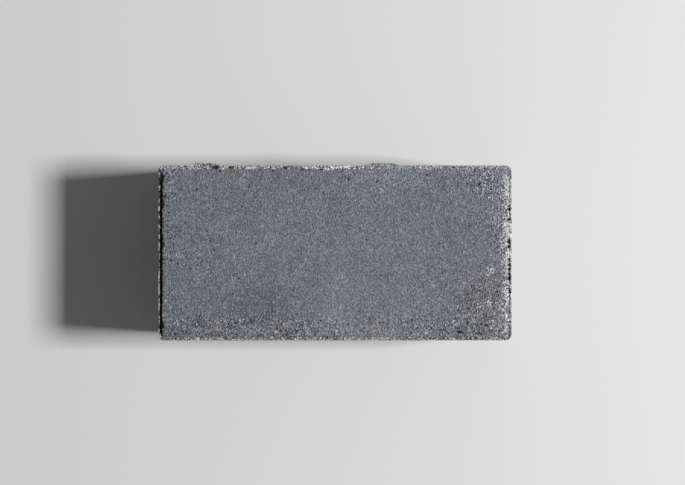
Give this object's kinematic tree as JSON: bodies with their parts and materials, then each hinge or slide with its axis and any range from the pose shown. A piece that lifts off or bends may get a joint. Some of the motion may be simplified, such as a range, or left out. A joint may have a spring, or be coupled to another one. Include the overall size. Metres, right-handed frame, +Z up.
{
  "type": "concrete paving stone",
  "caption": "Rectangular pressed concrete paving stone with a flat chamfered wearing face, a thin burr lip round its rim and shallow spacer nibs down one long side.",
  "frame": {"origin": "middle of the 198 by 98 mm bed, the underside that lies on the sand", "axes": "+X along the length, +Y across to the long side with the spacer nibs, +Z up out of the wearing face"},
  "size_m": [0.198, 0.0993, 0.08],
  "materials": {
    "concrete": "matt slate-grey pressed concrete with fine grain"
  },
  "bodies": {
    "root": {"paving_stone": "concrete"}
  },
  "joints": []
}
